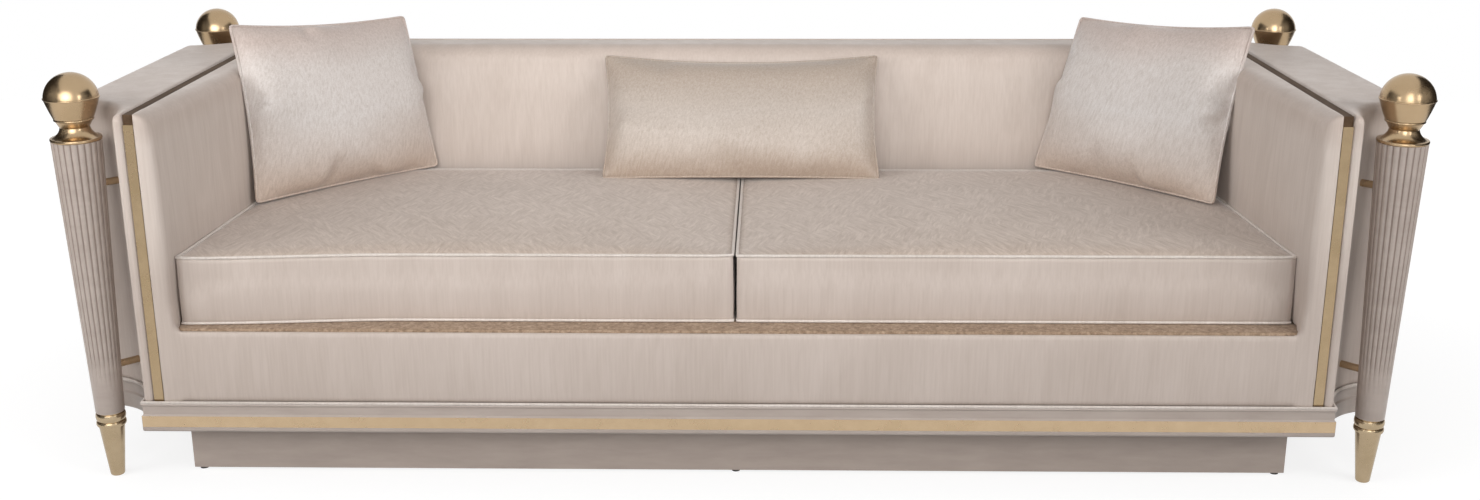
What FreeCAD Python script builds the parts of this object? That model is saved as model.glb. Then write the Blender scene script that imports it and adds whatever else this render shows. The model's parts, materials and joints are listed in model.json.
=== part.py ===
import FreeCAD, Part
import math
import os

# Three-seater sofa with two loose seat cushions and three loose pillows.
# Millimetres, +Z up, the front faces -Y, the origin is on the floor under the middle of the sofa.

# Upholstered body
body_length = 2490.0          # across the two outer arms
body_depth = 890.0            # apron face to outer back face
arm_height = 720.0            # floor to arm top
back_drop = 6.0               # back top below the arm top
scoop_radius = 132.0          # hollow corners that the posts stand in
outer_arm_wall = 20.0
outer_arm_round = 12.0
outer_back_thickness = 20.0
outer_back_round = 10.0

# Arm core panel, the brass strip up its front and the padding inside it
core_thickness = 18.0
outer_arm_thickness = 152.0   # core panel to outer arm face
arm_pad_front = 34.0          # padding thickness at the front end
arm_pad_rear = 84.0           # padding thickness where it meets the back
arm_pad_round = 26.0
arm_pad_bulge = 5.0
strip_thickness = 4.0
strip_recess = 2.0            # strip face behind the arm front
strip_drop = 20.0             # strip end below the arm top
groove_depth = 2.0            # core panel below the arm top

# Seat and back padding
back_build = 153.0            # outer back face to the back padding at seat height
back_rake = 26.0              # how far the padding leans back up to its top
back_pad_thickness = 75.0     # padding at seat height
back_pad_round = 40.0
back_roof = 20.0              # padding over the back frame
back_pad_bulge = 7.0
apron_thickness = 12.0
apron_round = 7.0
apron_bulge = 2.5
deck_height = 311.0           # floor to the deck under the cushions
deck_thickness = 12.0
web_thickness = 3.0
web_width = 60.0
web_count = 14
cross_web_count = 4

# Base
glide_thickness = 4.0
glide_diameter = 16.0
plinth_board = 18.0
plinth_set_front = 71.0       # plinth face behind the body face
plinth_set_side = 188.0
block_size = 60.0
base_bottom = 110.0           # floor to the underside of the moulding
base_height = 57.0
base_reveal = 5.0             # moulding proud of the upholstery
base_width = 45.0             # moulding, face to back
base_bead = 6.0
base_bead_reach = 2.8         # bead proud of the fascia
base_neck = 3.0               # fascia behind the bead
base_lip = 10.0
mitre_overrun = 0.2           # mitre cut past the moulding, as a share of its width
band_height = 22.0
band_depth = 4.0
band_recess = 0.4             # band face behind the moulding face
base_board = 18.0
scoop_spread = 20.0           # degrees that a hollow corner run is turned past its mitres

# Hidden timber
rail_thickness = 25.0
cross_rail_drop = 60.0        # cross rails lie lower, so the webbing can sag
cross_rail_count = 3
timber_width = 45.0
timber_depth = 28.0
back_upright_count = 4

# Posts
post_inset = 46.0             # post axis in from each body face
column_top_radius = 44.5
column_foot_radius = 26.5
column_top = 663.0
sabot_height = 133.0
reed_count = 22
reed_depth = 2.6
reed_fade_start = 248.0
reed_fade_end = 178.0
spigot_radius = 6.0
spigot_length = 30.0
spigot_clearance = 0.25
spigot_end_room = 1.0

# Finial: a ridged ball on a beaded, tapering neck above a bell flange
ball_radius = 47.8
ball_dome = 44.0              # equator to the top
ball_ridge = 1.4
ball_ridge_height = 3.0
bulb_foot = 35.0
neck_radius = 26.0
neck_bead = 2.4
neck_bead_height = 5.0
flange_radius = 45.4
flange_rim = 6.0
flange_edge = 2.0             # how far the rim rounds in below
flange_height = 25.0
neck_height = 17.0
bell_waist = 0.3              # hollow of the bell, as shares of its width and height
bell_waist_height = 0.35
bulb_drop = 37.0              # ball middle down to the neck
bulb_fullness = 0.89          # bulb half way down, as a share of the ball
bulb_fullness_drop = 0.48

# Sabot: a banded brass foot that tapers to the floor
sabot_band_high = 13.0
sabot_band_low = 9.0
sabot_swell = 1.2             # how far the middle of a band stands out
sabot_groove = 3.0
sabot_groove_depth = 2.5
sabot_shank_radius = 23.5
sabot_tip_radius = 13.5
sabot_tip_round = 5.0

# Round brass ties between post and body
tie_radius = 7.0
tie_clearance = 0.25
tie_seat = 8.0                # how deep a tie enters the column
tie_high = 576.0
tie_low = 221.0
tie_nut_radius = 12.0
tie_nut_height = 8.0
tie_tail = 1.5                # tie end past its nut

# Loose seat cushions
cushion_thickness = 132.0     # boxing height
cushion_crown = 16.0
cushion_pull = 6.0            # how far the sides draw in
cushion_setback = 54.0        # cushion front behind the apron face
cushion_gap = 14.0            # between the two cushions
cushion_clearance = 3.0
cushion_stations = (          # share of the depth, of the crown and of the drawn-in sides
    (0.0, 0.25, 0.0),
    (0.18, 0.8, 0.7),
    (0.45, 1.0, 1.0),
    (0.8, 0.65, 0.7),
    (1.0, 0.25, 0.0),
)
rest_gap = 0.3                # between pieces that lie on each other

# Loose pillows
corner_pillow_width = 452.0
corner_pillow_height = 366.0
corner_pillow_thickness = 128.0
left_pillow_turn = 47.0       # degrees across the corner
left_pillow_lean = 7.0        # degrees
left_pillow_arm_room = 16.0   # lower corner to the arm
left_pillow_back_room = 12.0
right_pillow_turn = 46.0
right_pillow_lean = 16.0
right_pillow_arm_room = 40.0
right_pillow_back_room = 18.0
lumbar_width = 604.0
lumbar_height = 280.0
lumbar_thickness = 108.0
lumbar_lean = 28.0
lumbar_room = -6.0            # upper edge to the back
pillow_edge = 7.0
pillow_pull = 24.0
pillow_stations = (           # share of the height, of the filling and of the drawn-in ends
    (0.0, 0.09, 0.0),
    (0.19, 0.74, 0.75),
    (0.5, 1.0, 1.0),
    (0.81, 0.74, 0.75),
    (1.0, 0.09, 0.0),
)
settle_steps = 6

# Worked out from the sizes above
half_length = body_length / 2
half_depth = body_depth / 2
back_height = arm_height - back_drop
core_outer = half_length - outer_arm_thickness
core_inner = core_outer - core_thickness
base_top = base_bottom + base_height
plinth_top = base_top - base_board
board_inset = base_width - base_reveal
rail_top = deck_height - deck_thickness - web_thickness
apron_back = half_depth - apron_thickness
back_face = half_depth - back_build
back_frame_face = back_face + back_pad_thickness
back_frame_back = half_depth - outer_back_thickness
strip_front = half_depth - strip_recess
strip_top = arm_height - strip_drop
core_front = strip_front - strip_thickness
core_top = arm_height - groove_depth
plinth_half_length = half_length - plinth_set_side
plinth_half_depth = half_depth - plinth_set_front
post_x = half_length - post_inset
post_y = half_depth - post_inset
wall_distance = scoop_radius - post_inset * math.sqrt(2)
cushion_front = half_depth - cushion_setback
cushion_bottom = deck_height + rest_gap
cushion_top = cushion_bottom + cushion_thickness
touch = 1e-3
sides = (("left", -1), ("right", 1))
ends = (("front", -1), ("rear", 1))


def vec(x, y, z):
    return FreeCAD.Vector(x, y, z)


def line(start, end):
    return Part.LineSegment(start, end).toShape()


def arc(start, middle, end):
    return Part.Arc(start, middle, end).toShape()


def box(low, high):
    size = high - low
    return Part.makeBox(size.x, size.y, size.z, low)


def polygon(points):
    return Part.makePolygon(list(points) + [points[0]])


def prism(wire, rise):
    return Part.Face(wire).extrude(rise)


def across(shape):
    return shape.mirror(vec(0, 0, 0), vec(1, 0, 0))


def to_rear(shape):
    return shape.mirror(vec(0, 0, 0), vec(0, 1, 0))


def on_side(shape, sign):
    return shape if sign > 0 else across(shape)


def in_corner(shape, x_sign, y_sign):
    placed = on_side(shape, x_sign)
    return placed if y_sign < 0 else to_rear(placed)


def save(name, shape):
    if not shape.isValid():
        raise ValueError(name + " is not a valid shape")
    shape.exportStep("parts/" + name + ".step")


def corner_reach(offset):
    # How far along a face the hollow corner starts, for an outline moved out by offset
    radius = scoop_radius - offset
    return math.sqrt(radius * radius - offset * offset)


def face_end(offset, x_sign, y_sign, z):
    return vec(x_sign * (half_length - corner_reach(offset)), y_sign * (half_depth + offset), z)


def side_end(offset, x_sign, y_sign, z):
    return vec(x_sign * (half_length + offset), y_sign * (half_depth - corner_reach(offset)), z)


def scoop_middle(offset, x_sign, y_sign, z):
    depth = (scoop_radius - offset) / math.sqrt(2)
    return vec(x_sign * (half_length - depth), y_sign * (half_depth - depth), z)


def plan_outline(offset, z):
    # Rectangle with four hollow corners, moved out from the upholstery by offset
    edges = []
    for x_sign, y_sign in ((1, -1), (1, 1), (-1, 1), (-1, -1)):
        face = face_end(offset, x_sign, y_sign, z)
        side = side_end(offset, x_sign, y_sign, z)
        middle = scoop_middle(offset, x_sign, y_sign, z)
        next_face = face_end(offset, -x_sign, y_sign, z)
        next_side = side_end(offset, x_sign, -y_sign, z)
        if x_sign * y_sign < 0:
            edges += [arc(face, middle, side), line(side, next_side)]
        else:
            edges += [arc(side, middle, face), line(face, next_face)]
    return Part.Wire(edges)


# Plinth, board and glides

def plinth():
    top = plinth_top
    low = glide_thickness
    inner_x = plinth_half_length - plinth_board
    inner_y = plinth_half_depth - plinth_board
    front = box(vec(-plinth_half_length, -plinth_half_depth, low), vec(plinth_half_length, -inner_y, top))
    side = box(vec(inner_x, -inner_y, low), vec(plinth_half_length, inner_y, top))
    save("plinth_front", front)
    save("plinth_rear", to_rear(front))
    for name, sign in sides:
        save("plinth_" + name, on_side(side, sign))
    points = [
        vec(inner_x, -inner_y, low),
        vec(inner_x, -inner_y + block_size, low),
        vec(inner_x - block_size, -inner_y, low),
    ]
    block = prism(polygon(points), vec(0, 0, top - low))
    blocks = [in_corner(block, x_sign, y_sign) for _, x_sign in sides for _, y_sign in ends]
    save("plinth_corner_blocks", Part.makeCompound(blocks))
    reach_x = plinth_half_length - glide_diameter
    reach_y = plinth_half_depth - plinth_board / 2
    glides = []
    for x in (-reach_x, 0, reach_x):
        for y in (-reach_y, reach_y):
            glides.append(Part.makeCylinder(glide_diameter / 2, glide_thickness, vec(x, y, 0)))
    save("floor_glides", Part.makeCompound(glides))


def bottom_board():
    board = prism(plan_outline(-board_inset, plinth_top), vec(0, 0, base_board))
    save("base_board", board)


# Base moulding with its inlaid brass band

def moulding_edges(place, grooved):
    # Section from the back of the moulding to its face, u outward from the upholstery
    face = base_reveal
    neck = face - base_neck
    band_low = base_bottom + base_lip
    band_high = band_low + band_height
    bead_low = base_top - base_bead
    bead_mid = base_top - base_bead / 2
    lip_round = base_lip / 2
    points = [
        (-board_inset, base_top),
        (-board_inset, base_bottom),
        (face - lip_round, base_bottom),
    ]
    edges = [line(place(*points[0]), place(*points[1])), line(place(*points[1]), place(*points[2]))]
    turn = lip_round / math.sqrt(2)
    lip_middle = (face - lip_round + turn, base_bottom + lip_round - turn)
    edges.append(arc(place(*points[2]), place(*lip_middle), place(face, base_bottom + lip_round)))
    climb = [(face, base_bottom + lip_round), (face, band_low)]
    if grooved:
        climb += [(face - band_depth, band_low), (face - band_depth, band_high)]
    climb += [(face, band_high), (neck, band_high + base_neck), (neck, bead_low)]
    for start, end in zip(climb, climb[1:]):
        edges.append(line(place(*start), place(*end)))
    bead_start = place(neck, bead_low)
    bead_end = place(neck, base_top)
    edges.append(arc(bead_start, place(neck + base_bead_reach, bead_mid), bead_end))
    edges.append(line(bead_end, place(*points[0])))
    return edges


def mitre_line(ends_of, x_sign, y_sign):
    # The mitre runs from the face of the moulding to its back, and a little past both
    outer = ends_of(base_reveal, x_sign, y_sign, base_bottom)
    inner = ends_of(-board_inset, x_sign, y_sign, base_bottom)
    past = (outer - inner) * mitre_overrun
    return outer + past, inner - past


def front_plan():
    left_out, left_in = mitre_line(face_end, -1, -1)
    right_out, right_in = mitre_line(face_end, 1, -1)
    return prism(polygon([left_out, right_out, right_in, left_in]), vec(0, 0, base_height))


def side_plan():
    front_out, front_in = mitre_line(side_end, 1, -1)
    rear_out, rear_in = mitre_line(side_end, 1, 1)
    return prism(polygon([front_out, rear_out, rear_in, front_in]), vec(0, 0, base_height))


def corner_plan():
    face_out, face_in = mitre_line(face_end, 1, -1)
    side_out, side_in = mitre_line(side_end, 1, -1)
    return prism(polygon([face_out, side_out, side_in, face_in]), vec(0, 0, base_height))


def moulding_run(edges, run, plan):
    return prism(Part.Wire(edges), run).common(plan)


def band_edges(place):
    low = base_bottom + base_lip
    high = low + band_height
    back = base_reveal - band_depth
    face = base_reveal - band_recess
    corners = [place(back, low), place(face, low), place(face, high), place(back, high)]
    return [line(corners[i], corners[(i + 1) % 4]) for i in range(4)]


def base_moulding():
    def on_front(u, z):
        return vec(-half_length, -half_depth - u, z)

    def on_side_face(u, z):
        return vec(half_length + u, -half_depth, z)

    def on_scoop(u, z):
        return vec(half_length - scoop_radius + u, -half_depth, z)

    along_x = vec(body_length, 0, 0)
    along_y = vec(0, body_depth, 0)
    front = moulding_run(moulding_edges(on_front, True), along_x, front_plan())
    rear = moulding_run(moulding_edges(on_front, False), along_x, front_plan())
    side = moulding_run(moulding_edges(on_side_face, True), along_y, side_plan())
    save("base_moulding_front", front)
    save("base_moulding_rear", to_rear(rear))
    front_band = moulding_run(band_edges(on_front), along_x, front_plan())
    side_band = moulding_run(band_edges(on_side_face), along_y, side_plan())
    save("brass_band_front", front_band)
    axis_foot = vec(half_length, -half_depth, 0)
    section = Part.Face(Part.Wire(moulding_edges(on_scoop, False)))
    section.rotate(axis_foot, vec(0, 0, 1), scoop_spread)
    ring = section.revolve(axis_foot, vec(0, 0, 1), -90 - 2 * scoop_spread)
    corner = ring.common(corner_plan())
    for name, sign in sides:
        save("base_moulding_" + name, on_side(side, sign))
        save("brass_band_" + name, on_side(side_band, sign))
        for end, y_sign in ends:
            save("base_corner_" + end + "_" + name, in_corner(corner, sign, y_sign))


# Hidden seat frame, webbing and deck

def seat_frame():
    front_in = apron_back - rail_thickness
    rear_in = back_frame_face - rail_thickness
    front = box(vec(-core_inner, -apron_back, base_top), vec(core_inner, -front_in, rail_top))
    rear = box(vec(-core_inner, rear_in, base_top), vec(core_inner, back_frame_face, rail_top))
    save("front_rail", front)
    save("rear_rail", rear)
    side_in = core_inner - rail_thickness
    side = box(vec(side_in, -front_in, base_top), vec(core_inner, rear_in, rail_top))
    for name, sign in sides:
        save("side_rail_" + name, on_side(side, sign))
    spacing = 2 * side_in / (cross_rail_count + 1)
    rails = []
    for i in range(cross_rail_count):
        x = -side_in + spacing * (i + 1) - rail_thickness / 2
        low = vec(x, -front_in, base_top)
        rails.append(box(low, vec(x + rail_thickness, rear_in, rail_top - cross_rail_drop)))
    save("cross_rails", Part.makeCompound(rails))


def seat_webbing():
    # Straps front to back on the rails, with cross straps tacked under them
    half = web_thickness / 2
    pitch = 2 * core_inner / web_count
    straps = []
    for i in range(web_count):
        x = -core_inner + pitch * (i + 0.5) - web_width / 2
        low = vec(x, -apron_back, rail_top + half)
        straps.append(box(low, vec(x + web_width, back_frame_face, rail_top + web_thickness)))
    front_in = apron_back - rail_thickness
    room = back_frame_face + front_in - 2 * rail_thickness
    for i in range(cross_web_count):
        y = -front_in + room * (i + 1) / (cross_web_count + 1) - web_width / 2
        low = vec(-core_inner, y, rail_top)
        straps.append(box(low, vec(core_inner, y + web_width, rail_top + half)))
    save("webbing_straps", Part.makeCompound(straps))


def deck():
    low = vec(-core_inner, -apron_back, rail_top + web_thickness)
    save("deck_pad", box(low, vec(core_inner, back_frame_face, deck_height)))


def apron():
    # Padded face below the seat, a little full and rounded over at the top
    face = -half_depth
    back = -apron_back
    middle = (base_top + deck_height) / 2
    turn = apron_round * (1 - 1 / math.sqrt(2))
    x = -core_inner

    def at(y, z):
        return vec(x, y, z)

    full = face + apron_bulge
    top_start = at(full, deck_height - apron_round)
    top_end = at(full + apron_round, deck_height)
    edges = [
        line(at(back, base_top), at(full, base_top)),
        arc(at(full, base_top), at(face, middle), top_start),
        arc(top_start, at(full + turn, deck_height - turn), top_end),
        line(top_end, at(back, deck_height)),
        line(at(back, deck_height), at(back, base_top)),
    ]
    save("front_apron", prism(Part.Wire(edges), vec(2 * core_inner, 0, 0)))


# Arms

def arm_padding(y):
    # Padding thickness at a place along the arm, growing evenly to the back
    share = (y + half_depth) / (back_face + half_depth)
    return arm_pad_front + (arm_pad_rear - arm_pad_front) * share


def arm_face(y):
    return core_inner - arm_padding(y)


def arm_pad_section(y):
    outer = core_inner
    inner = arm_face(y)
    bottom = deck_height + rest_gap
    full = inner + arm_pad_bulge
    round_start = arm_height - arm_pad_round
    turn = arm_pad_round * (1 - 1 / math.sqrt(2))
    middle = (bottom + round_start) / 2
    top_in = vec(full + arm_pad_round, y, arm_height)
    edges = [
        line(vec(outer, y, bottom), vec(full, y, bottom)),
        arc(vec(full, y, bottom), vec(inner, y, middle), vec(full, y, round_start)),
        arc(vec(full, y, round_start), vec(full + turn, y, arm_height - turn), top_in),
        line(top_in, vec(outer, y, arm_height)),
        line(vec(outer, y, arm_height), vec(outer, y, bottom)),
    ]
    return Part.Wire(edges)


def outer_arm_shell():
    # Upholstered outer arm: hollow corners front and rear, open to the core panel and the base
    body = prism(plan_outline(0, base_top), vec(0, 0, arm_height - base_top))
    keep = box(vec(core_outer, -half_depth, base_top), vec(half_length, half_depth, arm_height))
    block = body.common(keep)
    edges = []
    for edge in block.Edges:
        centre = edge.BoundBox.Center
        at_top = edge.BoundBox.ZMin > arm_height - touch
        if at_top and centre.x > core_outer + touch:
            edges.append(edge)
    rounded = block.makeFillet(outer_arm_round, edges)
    room = arm_height - outer_arm_wall - base_top
    hollow = prism(plan_outline(-outer_arm_wall, base_top), vec(0, 0, room))
    return rounded.cut(hollow)


def arm_timber():
    # Frame timbers on the core panel: rails at foot and top, a post at each end and one between
    x_in = core_outer
    x_out = core_outer + timber_depth
    reach = half_depth - corner_reach(-outer_arm_wall)
    top = arm_height - outer_arm_wall
    low_rail = box(vec(x_in, -reach, base_top), vec(x_out, reach, base_top + timber_width))
    top_rail = box(vec(x_in, -reach, top - timber_width), vec(x_out, reach, top))
    pieces = [low_rail, top_rail]
    for y in (-reach, -timber_width / 2, reach - timber_width):
        foot = vec(x_in, y, base_top + timber_width)
        pieces.append(box(foot, vec(x_out, y + timber_width, top - timber_width)))
    return pieces


def tie_direction():
    # Each front right tie runs diagonally from the post axis into the body
    return vec(-1, 1, 0).normalize()


def tie_hole(height, start, end):
    way = tie_direction()
    foot = vec(post_x, -post_y, height) + way * start
    return Part.makeCylinder(tie_radius + tie_clearance, end - start, foot, way)


def arms():
    pad_ends = [arm_pad_section(-half_depth), arm_pad_section(back_face - rest_gap)]
    pad = Part.makeLoft(pad_ends, True, True)
    panel_low = vec(core_inner, -core_front, base_top)
    panel = box(panel_low, vec(core_outer, back_frame_back, core_top))
    strip_low = vec(core_inner, -strip_front, base_top)
    strip = box(strip_low, vec(core_outer, -core_front, strip_top))
    shell = outer_arm_shell()
    past_wall = wall_distance + outer_arm_wall + tie_nut_height
    for height in (tie_low, tie_high):
        hole = tie_hole(height, 0, past_wall)
        shell = shell.cut(hole).cut(to_rear(hole))
    frame = arm_timber()
    for name, sign in sides:
        save("arm_panel_" + name, on_side(panel, sign))
        save("arm_strip_" + name, on_side(strip, sign))
        save("inner_arm_pad_" + name, on_side(pad, sign))
        save("outer_arm_" + name, on_side(shell, sign))
        save("arm_frame_" + name, Part.makeCompound([on_side(piece, sign) for piece in frame]))


# Back

def back_pad():
    # Raked and crowned face, rolled over at the top and flat behind
    x = -core_inner
    bottom = deck_height + rest_gap
    top_face = back_face + back_rake
    round_start = back_height - back_pad_round
    turn = back_pad_round * (1 - 1 / math.sqrt(2))

    def at(y, z):
        return vec(x, y, z)

    foot = at(back_face + back_pad_bulge, bottom)
    shoulder = at(top_face, round_start)
    belly = at((back_face + top_face) / 2 - back_pad_bulge / 2, (bottom + round_start) / 2)
    crest = at(top_face + back_pad_round, back_height)
    roof = back_height - back_roof
    edges = [
        line(at(back_frame_face, bottom), foot),
        arc(foot, belly, shoulder),
        arc(shoulder, at(top_face + turn, back_height - turn), crest),
        line(crest, at(back_frame_back, back_height)),
        line(at(back_frame_back, back_height), at(back_frame_back, roof)),
        line(at(back_frame_back, roof), at(back_frame_face, roof)),
        line(at(back_frame_face, roof), at(back_frame_face, bottom)),
    ]
    save("inner_back_pad", prism(Part.Wire(edges), vec(2 * core_inner, 0, 0)))


def back_frame():
    top = back_height - back_roof
    rail_low = top - timber_width
    face = back_frame_face
    back = back_frame_back
    pieces = [
        box(vec(-core_inner, face, base_top), vec(core_inner, back, base_top + timber_width)),
        box(vec(-core_inner, face, rail_low), vec(core_inner, back, top)),
    ]
    pitch = (2 * core_inner - timber_width) / (back_upright_count - 1)
    for i in range(back_upright_count):
        x = -core_inner + pitch * i
        foot = vec(x, face, base_top + timber_width)
        pieces.append(box(foot, vec(x + timber_width, back, rail_low)))
    save("back_frame", Part.makeCompound(pieces))


def outer_back():
    # Upholstered panel behind the frame, its top edge rolled over
    top = back_height
    low = vec(-core_outer, back_frame_back, base_top)
    panel = box(low, vec(core_outer, half_depth, top))
    edges = []
    for edge in panel.Edges:
        limits = edge.BoundBox
        if limits.ZMin > top - touch and limits.YMin > half_depth - touch:
            edges.append(edge)
    save("outer_back", panel.makeFillet(outer_back_round, edges))


# Posts

def column_radius(z):
    share = (z - sabot_height) / (column_top - sabot_height)
    return column_foot_radius + (column_top_radius - column_foot_radius) * share


def reeded_section(z, depth):
    # Ring of equal arcs: round reeds where depth is above nothing, else one plain circle
    radius = column_radius(z)
    step = 2 * math.pi / reed_count
    edges = []

    def at(r, angle):
        return vec(r * math.cos(angle), r * math.sin(angle), z)

    for i in range(reed_count):
        groove = radius - depth
        start = at(groove, i * step)
        crest = at(radius, (i + 0.5) * step)
        end = at(groove, (i + 1) * step)
        edges.append(arc(start, crest, end))
    return Part.Wire(edges)


def column():
    # Stands on its own axis, reeded for most of its height and plain near the foot
    fade_depth = reed_depth * column_radius(reed_fade_start) / column_top_radius
    sections = [
        reeded_section(sabot_height, 0),
        reeded_section(reed_fade_end, 0),
        reeded_section(reed_fade_start, fade_depth),
        reeded_section(column_top, reed_depth),
    ]
    shaft = Part.makeLoft(sections, True, True)
    bore = spigot_radius + spigot_clearance
    depth = spigot_length + spigot_end_room
    shaft = shaft.cut(Part.makeCylinder(bore, depth, vec(0, 0, sabot_height)))
    return shaft.cut(Part.makeCylinder(bore, depth, vec(0, 0, column_top - depth)))


def revolved(edges):
    return Part.Face(Part.Wire(edges)).revolve(vec(0, 0, 0), vec(0, 0, 1), 360)


def finial():
    # Turned from the spigot up: bell flange, tapering neck, bead, bulb, equator ridge, dome

    def at(r, z):
        return vec(r, 0, z)

    foot = column_top
    rim_top = foot + flange_rim
    bell_top = foot + flange_height
    neck_top = bell_top + neck_height
    middle = neck_top + bulb_drop
    neck_root = bulb_foot - neck_bead
    bead_foot = neck_top - neck_bead_height
    bead_crest = at(bulb_foot, bead_foot + neck_bead_height / 2)
    ridge = ball_ridge_height / 2
    waist = neck_radius + (flange_radius - neck_radius) * bell_waist
    bell_middle = at(waist, rim_top + (bell_top - rim_top) * bell_waist_height)
    bulb_middle = at(ball_radius * bulb_fullness, middle - bulb_drop * bulb_fullness_drop)
    dome_foot = middle + ridge
    crown = at(0, dome_foot + ball_dome)
    dome_bend = (ball_radius ** 2 + ball_dome ** 2) / (2 * ball_dome)
    dome_half = math.asin(ball_radius / dome_bend) / 2
    dome_middle = at(dome_bend * math.sin(dome_half), crown.z - dome_bend * (1 - math.cos(dome_half)))
    rim_low = at(flange_radius - flange_edge, foot)
    rim_high = at(flange_radius - flange_edge / 2, rim_top)
    ridge_out = ball_radius + ball_ridge
    edges = [
        line(at(0, foot - spigot_length), at(spigot_radius, foot - spigot_length)),
        line(at(spigot_radius, foot - spigot_length), at(spigot_radius, foot)),
        line(at(spigot_radius, foot), rim_low),
        arc(rim_low, at(flange_radius, foot + flange_rim / 2), rim_high),
        arc(rim_high, bell_middle, at(neck_radius, bell_top)),
        line(at(neck_radius, bell_top), at(neck_root, bead_foot)),
        arc(at(neck_root, bead_foot), bead_crest, at(neck_root, neck_top)),
        line(at(neck_root, neck_top), at(bulb_foot, neck_top)),
        arc(at(bulb_foot, neck_top), bulb_middle, at(ball_radius, middle - ridge)),
        arc(at(ball_radius, middle - ridge), at(ridge_out, middle), at(ball_radius, dome_foot)),
        arc(at(ball_radius, dome_foot), dome_middle, crown),
        line(crown, at(0, foot - spigot_length)),
    ]
    return revolved(edges)


def sabot():
    # Turned foot: two swelling bands between grooves, and a plain taper to a rounded tip

    def at(r, z):
        return vec(r, 0, z)

    top = sabot_height
    full = column_foot_radius
    core = full - sabot_groove_depth
    bands = (sabot_band_low, sabot_band_high)
    head = top - sum(bands) - sabot_groove * (len(bands) + 1)
    tip = sabot_tip_round
    turn = tip * (1 - 1 / math.sqrt(2))
    low_point = at(sabot_tip_radius - tip, 0)
    tip_side = at(sabot_tip_radius, tip)
    edges = [
        line(at(0, 0), low_point),
        arc(low_point, at(sabot_tip_radius - turn, turn), tip_side),
        line(tip_side, at(sabot_shank_radius, head)),
        line(at(sabot_shank_radius, head), at(core, head)),
    ]
    for band in bands:
        low = head
        foot = low + sabot_groove
        head = foot + band
        edges += [
            line(at(core, low), at(core, foot)),
            line(at(core, foot), at(full, foot)),
            arc(at(full, foot), at(full + sabot_swell, foot + band / 2), at(full, head)),
            line(at(full, head), at(core, head)),
        ]
    edges += [
        line(at(core, head), at(core, top)),
        line(at(core, top), at(spigot_radius, top)),
        line(at(spigot_radius, top), at(spigot_radius, top + spigot_length)),
        line(at(spigot_radius, top + spigot_length), at(0, top + spigot_length)),
        line(at(0, top + spigot_length), at(0, 0)),
    ]
    return revolved(edges)


def tie_pieces(height):
    # A brass rod from inside the column through the hollow wall, and the round nut behind it
    way = tie_direction()
    axis = vec(post_x, -post_y, height)
    start = column_radius(height) - reed_depth - tie_seat
    wall_back = wall_distance + outer_arm_wall
    nut_start = wall_back + rest_gap
    nut_end = nut_start + tie_nut_height
    rod = Part.makeCylinder(tie_radius, nut_end + tie_tail - start, axis + way * start, way)
    nut = Part.makeCylinder(tie_nut_radius, tie_nut_height, axis + way * nut_start, way)
    bore = Part.makeCylinder(tie_radius, tie_nut_height, axis + way * nut_start, way)
    return [rod, nut.cut(bore)]


def posts():
    shaft = column().translated(vec(post_x, -post_y, 0))
    rods = []
    for height in (tie_low, tie_high):
        start = column_radius(height) - reed_depth - tie_seat - spigot_end_room
        shaft = shaft.cut(tie_hole(height, start, wall_distance))
        rods += tie_pieces(height)
    ball = finial().translated(vec(post_x, -post_y, 0))
    foot = sabot().translated(vec(post_x, -post_y, 0))
    for end, y_sign in ends:
        for name, sign in sides:
            corner = end + "_" + name
            save("post_column_" + corner, in_corner(shaft, sign, y_sign))
            save("post_finial_" + corner, in_corner(ball, sign, y_sign))
            save("post_sabot_" + corner, in_corner(foot, sign, y_sign))
            ties = [in_corner(rod, sign, y_sign) for rod in rods]
            save("post_ties_" + corner, Part.makeCompound(ties))


# Loose seat cushions

def cushion_section(y, crown, pull):
    inner = cushion_gap / 2 + pull
    outer = arm_face(y) - cushion_clearance - pull
    low_in = vec(inner, y, cushion_bottom)
    low_out = vec(outer, y, cushion_bottom)
    high_in = vec(inner, y, cushion_top)
    high_out = vec(outer, y, cushion_top)
    crest = vec((inner + outer) / 2, y, cushion_top + crown)
    return Part.Wire([
        line(low_in, low_out),
        line(low_out, high_out),
        arc(high_out, crest, high_in),
        line(high_in, low_in),
    ])


def right_cushion():
    # Box-edged, fullest a little in front of the middle and lower towards the back
    front = -cushion_front
    back = back_face - cushion_clearance
    depth = back - front
    sections = []
    for share, crown, pull in cushion_stations:
        y = front + depth * share
        sections.append(cushion_section(y, crown * cushion_crown, pull * cushion_pull))
    return Part.makeLoft(sections, True, False)


# Loose pillows

def pillow(width, height, thickness):
    # Knife-edged and crowned, its ends drawn in between the corners, standing on its lower edge
    half_edge = pillow_edge / 2
    sections = []
    for share, fill, pull in pillow_stations:
        z = share * height
        reach = width / 2 - pillow_pull * pull
        full = half_edge + (thickness / 2 - half_edge) * fill
        sections.append(Part.Wire([
            line(vec(-reach, half_edge, z), vec(-reach, -half_edge, z)),
            arc(vec(-reach, -half_edge, z), vec(0, -full, z), vec(reach, -half_edge, z)),
            line(vec(reach, -half_edge, z), vec(reach, half_edge, z)),
            arc(vec(reach, half_edge, z), vec(0, full, z), vec(-reach, half_edge, z)),
        ]))
    return Part.makeLoft(sections, True, False)


def settle(shape, support, way):
    # Moves a loose piece along way until it lies the rest gap from its support
    for _ in range(settle_steps):
        gap = shape.distToShape(support)[0]
        shape.translate(way * (gap - rest_gap))


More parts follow.
